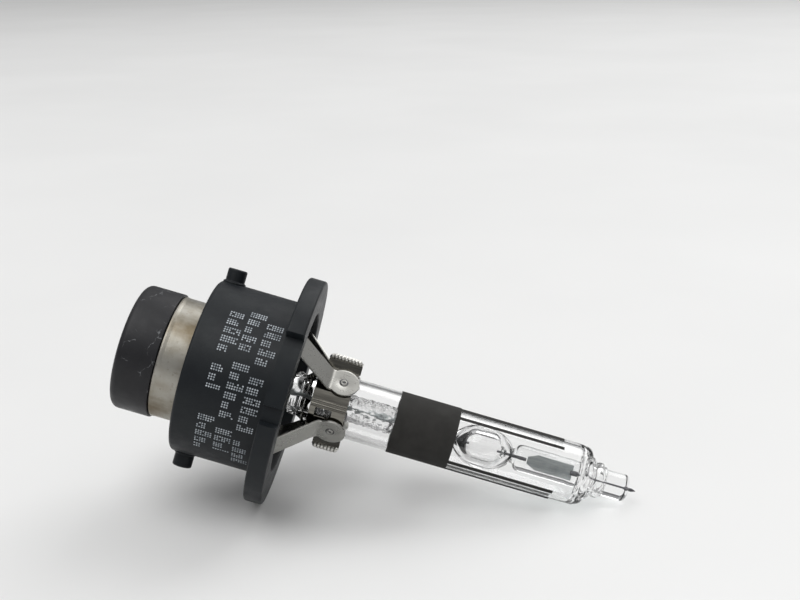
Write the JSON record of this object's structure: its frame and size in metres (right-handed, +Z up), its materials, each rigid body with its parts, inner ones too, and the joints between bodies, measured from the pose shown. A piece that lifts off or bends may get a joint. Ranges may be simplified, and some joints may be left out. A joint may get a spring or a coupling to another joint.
{
  "type": "headlight bulb",
  "caption": "Xenon gas-discharge headlight bulb: plastic base with a round flange and rear connector, metal straps and collar, and a clear quartz burner with a black shield coating.",
  "frame": {"origin": "middle of the object's box at the surface it lies on: the flange rim and the shoulder of the glass envelope both touch that surface", "axes": "+Z up, +X horizontal, from the connector towards the glass tip, and +Y to the rear side; the lamp axis lies in the XZ plane and droops 16.15 degrees towards +X"},
  "size_m": [0.0724, 0.032, 0.0324],
  "materials": {
    "housing_plastic": "satin moulded, blue-grey black",
    "cap_plastic": "satin moulded, worn",
    "core_plastic": "matt moulded, black",
    "tinned_metal": "dull tinned, with light tarnish",
    "strap_steel": "fine brushed, satin",
    "contact_brass": "bright",
    "quartz": "clear fused quartz",
    "coating": "matt fired-on black coating",
    "molybdenum": "dark foil and wire",
    "tungsten": "dull grey"
  },
  "bodies": {
    "root": {"base_housing": "housing_plastic", "connector_cap": "cap_plastic", "contact_sleeve": "tinned_metal", "connector_core": "core_plastic", "centre_contact": "contact_brass", "burner_socket": "core_plastic", "strap_carrier": "core_plastic", "return_strip": "tinned_metal", "collar_front": "strap_steel", "collar_rear": "strap_steel", "glass_envelope": "quartz", "shield_coating": "coating", "arc_tube": "quartz", "electrode_rear": "tungsten", "electrode_front": "tungsten", "foil_rear": "molybdenum", "foil_front": "molybdenum", "lead_rear": "molybdenum", "lead_front": "molybdenum", "strap_upper_front": "strap_steel", "weld_upper_front": "strap_steel", "strap_lower_front": "strap_steel", "weld_lower_front": "strap_steel", "strap_lower_rear": "strap_steel", "weld_lower_rear": "strap_steel", "strap_upper_rear": "strap_steel", "weld_upper_rear": "strap_steel"}
  },
  "joints": []
}
